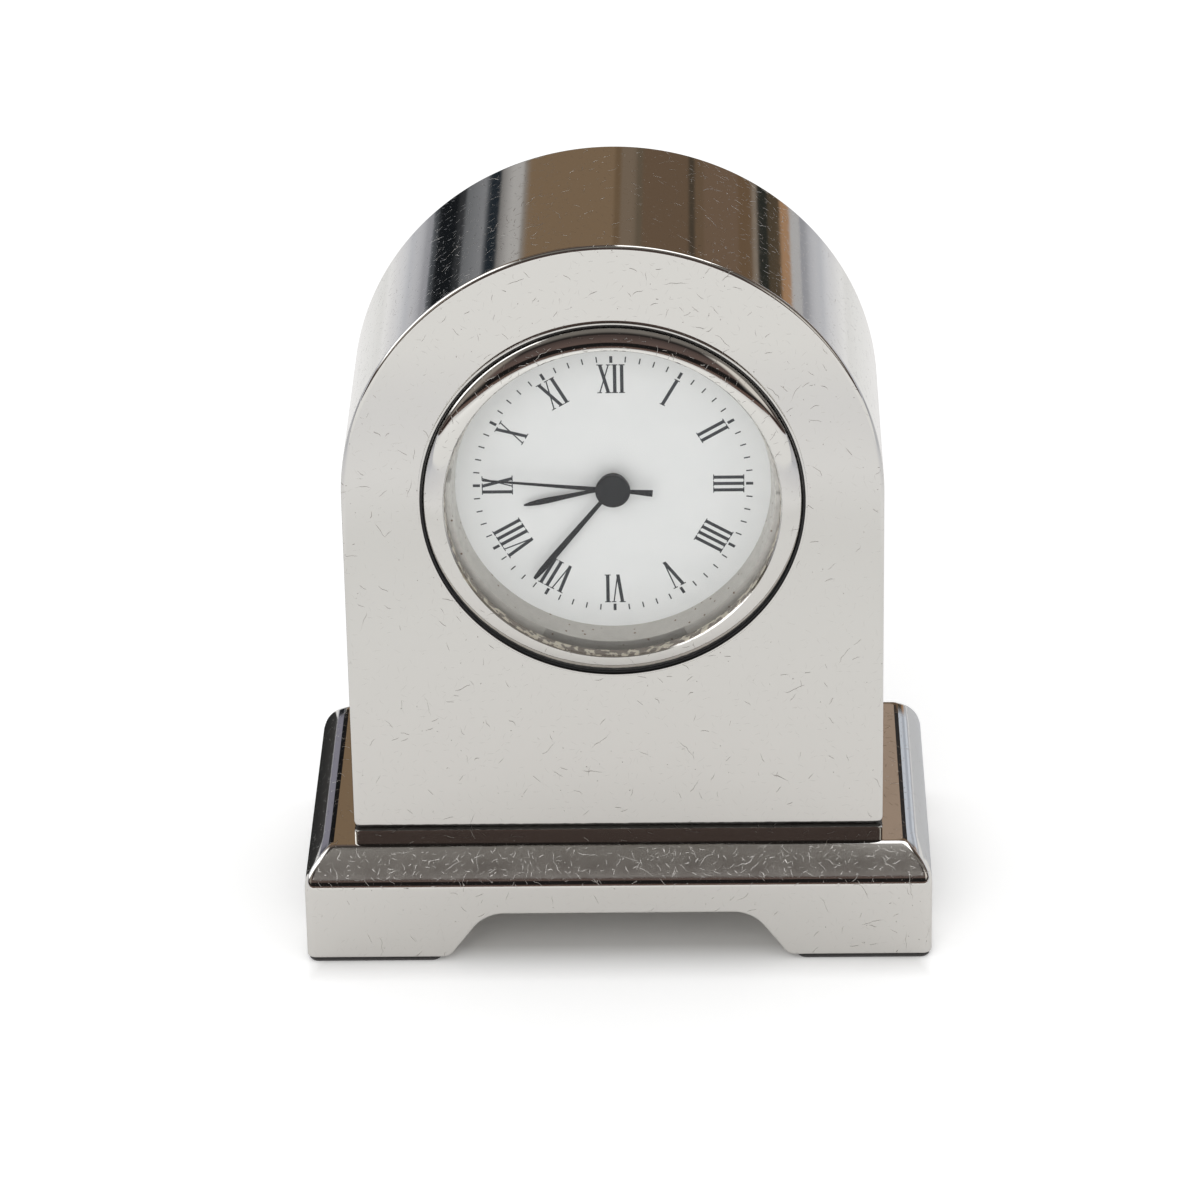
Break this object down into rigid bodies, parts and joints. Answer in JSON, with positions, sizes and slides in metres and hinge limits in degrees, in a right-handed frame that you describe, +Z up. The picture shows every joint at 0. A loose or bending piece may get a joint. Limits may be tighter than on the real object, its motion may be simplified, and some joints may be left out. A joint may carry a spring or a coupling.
{
  "type": "miniature arched desk clock",
  "caption": "Miniature round-topped desk clock in polished silver plate on a bracket-foot base, with a push-in quartz insert, Roman dial, black hands and a working wheel train.",
  "frame": {"origin": "on the floor under the centre of the base", "axes": "+X to the right as seen from the front, +Y towards the back, +Z up"},
  "size_m": [0.06, 0.034, 0.0717],
  "materials": {
    "silver_plate": "mirror polished silver plate with fine scratches",
    "felt": "thin black felt",
    "screw_steel": "bright steel",
    "mineral_glass": "clear flat glass",
    "dial_white": "satin white enamel paint",
    "ring_silver": "silvered moulding",
    "hand_black": "satin black lacquer",
    "housing_plastic": "moulded ivory plastic",
    "plate_plastic": "moulded movement plate",
    "band_rubber": "ribbed black rubber",
    "gear_plastic": "moulded acetal",
    "brass": "blanked brass",
    "soft_iron": "blanked soft iron",
    "coil_copper": "enamelled copper winding",
    "board_green": "printed circuit board",
    "chip_black": "drop of black resin",
    "cell_steel": "nickel-plated steel cell",
    "knob_plastic": "moulded knurled plastic"
  },
  "bodies": {
    "clock_body": {"base_plinth": "silver_plate", "foot_pads": "felt", "base_screws": "screw_steel", "case_block": "silver_plate"},
    "insert": {"bezel": "silver_plate", "lens": "mineral_glass", "dial_ring": "ring_silver", "dial": "dial_white", "movement_housing": "housing_plastic", "grip_band": "band_rubber", "hour_washer": "brass", "train_plate": "plate_plastic", "train_bridge": "brass", "bridge_screws": "screw_steel", "stator": "soft_iron", "coil_core": "soft_iron", "coil_winding": "coil_copper", "circuit_board": "board_green", "chip_cover": "chip_black", "quartz_can": "cell_steel", "battery_cell": "cell_steel", "battery_spring": "brass", "battery_strap": "brass", "back_cover": "housing_plastic"},
    "hatch": {"battery_hatch": "knob_plastic"},
    "minute_work": {"minute_hand": "hand_black", "cannon_pinion": "gear_plastic", "centre_wheel": "brass"},
    "hour_work": {"hour_hand": "hand_black", "hour_wheel": "gear_plastic"},
    "second_work": {"second_hand": "hand_black", "seconds_wheel": "gear_plastic"},
    "third_work": {"third_wheel": "gear_plastic"},
    "intermediate_work": {"intermediate_wheel": "gear_plastic"},
    "rotor_work": {"rotor": "soft_iron"},
    "setting_work": {"motion_wheel": "gear_plastic", "setting_knob": "knob_plastic"}
  },
  "joints": [
    {"name": "insert_slide", "type": "slide", "parent": "clock_body", "child": "insert", "axis": [0, -1, 0], "range_m": [0, 0.018]},
    {"name": "hatch_slide", "type": "slide", "parent": "insert", "child": "hatch", "axis": [0, 1, 0], "range_m": [0, 0.016]},
    {"name": "minute_turn", "type": "hinge", "parent": "insert", "child": "minute_work", "pos_m": [0, -0.004, 0.04596], "axis": [0, 1, 0], "continuous": true},
    {"name": "hour_turn", "type": "hinge", "parent": "insert", "child": "hour_work", "pos_m": [0, -0.004, 0.04596], "axis": [0, 1, 0], "continuous": true},
    {"name": "second_turn", "type": "hinge", "parent": "insert", "child": "second_work", "pos_m": [0, -0.004, 0.04596], "axis": [0, 1, 0], "continuous": true},
    {"name": "third_turn", "type": "hinge", "parent": "insert", "child": "third_work", "pos_m": [0.00334, -0.004, 0.0483], "axis": [0, 1, 0], "continuous": true},
    {"name": "intermediate_turn", "type": "hinge", "parent": "insert", "child": "intermediate_work", "pos_m": [-0.00364, -0.004, 0.04806], "axis": [0, 1, 0], "continuous": true},
    {"name": "rotor_turn", "type": "hinge", "parent": "insert", "child": "rotor_work", "pos_m": [-0.00728, -0.004, 0.04806], "axis": [0, 1, 0], "continuous": true},
    {"name": "setting_turn", "type": "hinge", "parent": "insert", "child": "setting_work", "pos_m": [0, -0.004, 0.04116], "axis": [0, 1, 0], "continuous": true}
  ],
  "couplings": [
    {"joint": "hour_turn", "follows": "minute_turn", "ratio": 0.083333},
    {"joint": "setting_turn", "follows": "minute_turn", "ratio": -0.33333},
    {"joint": "third_turn", "follows": "minute_turn", "ratio": -8},
    {"joint": "second_turn", "follows": "minute_turn", "ratio": 60},
    {"joint": "intermediate_turn", "follows": "minute_turn", "ratio": -300},
    {"joint": "rotor_turn", "follows": "minute_turn", "ratio": 1800}
  ]
}
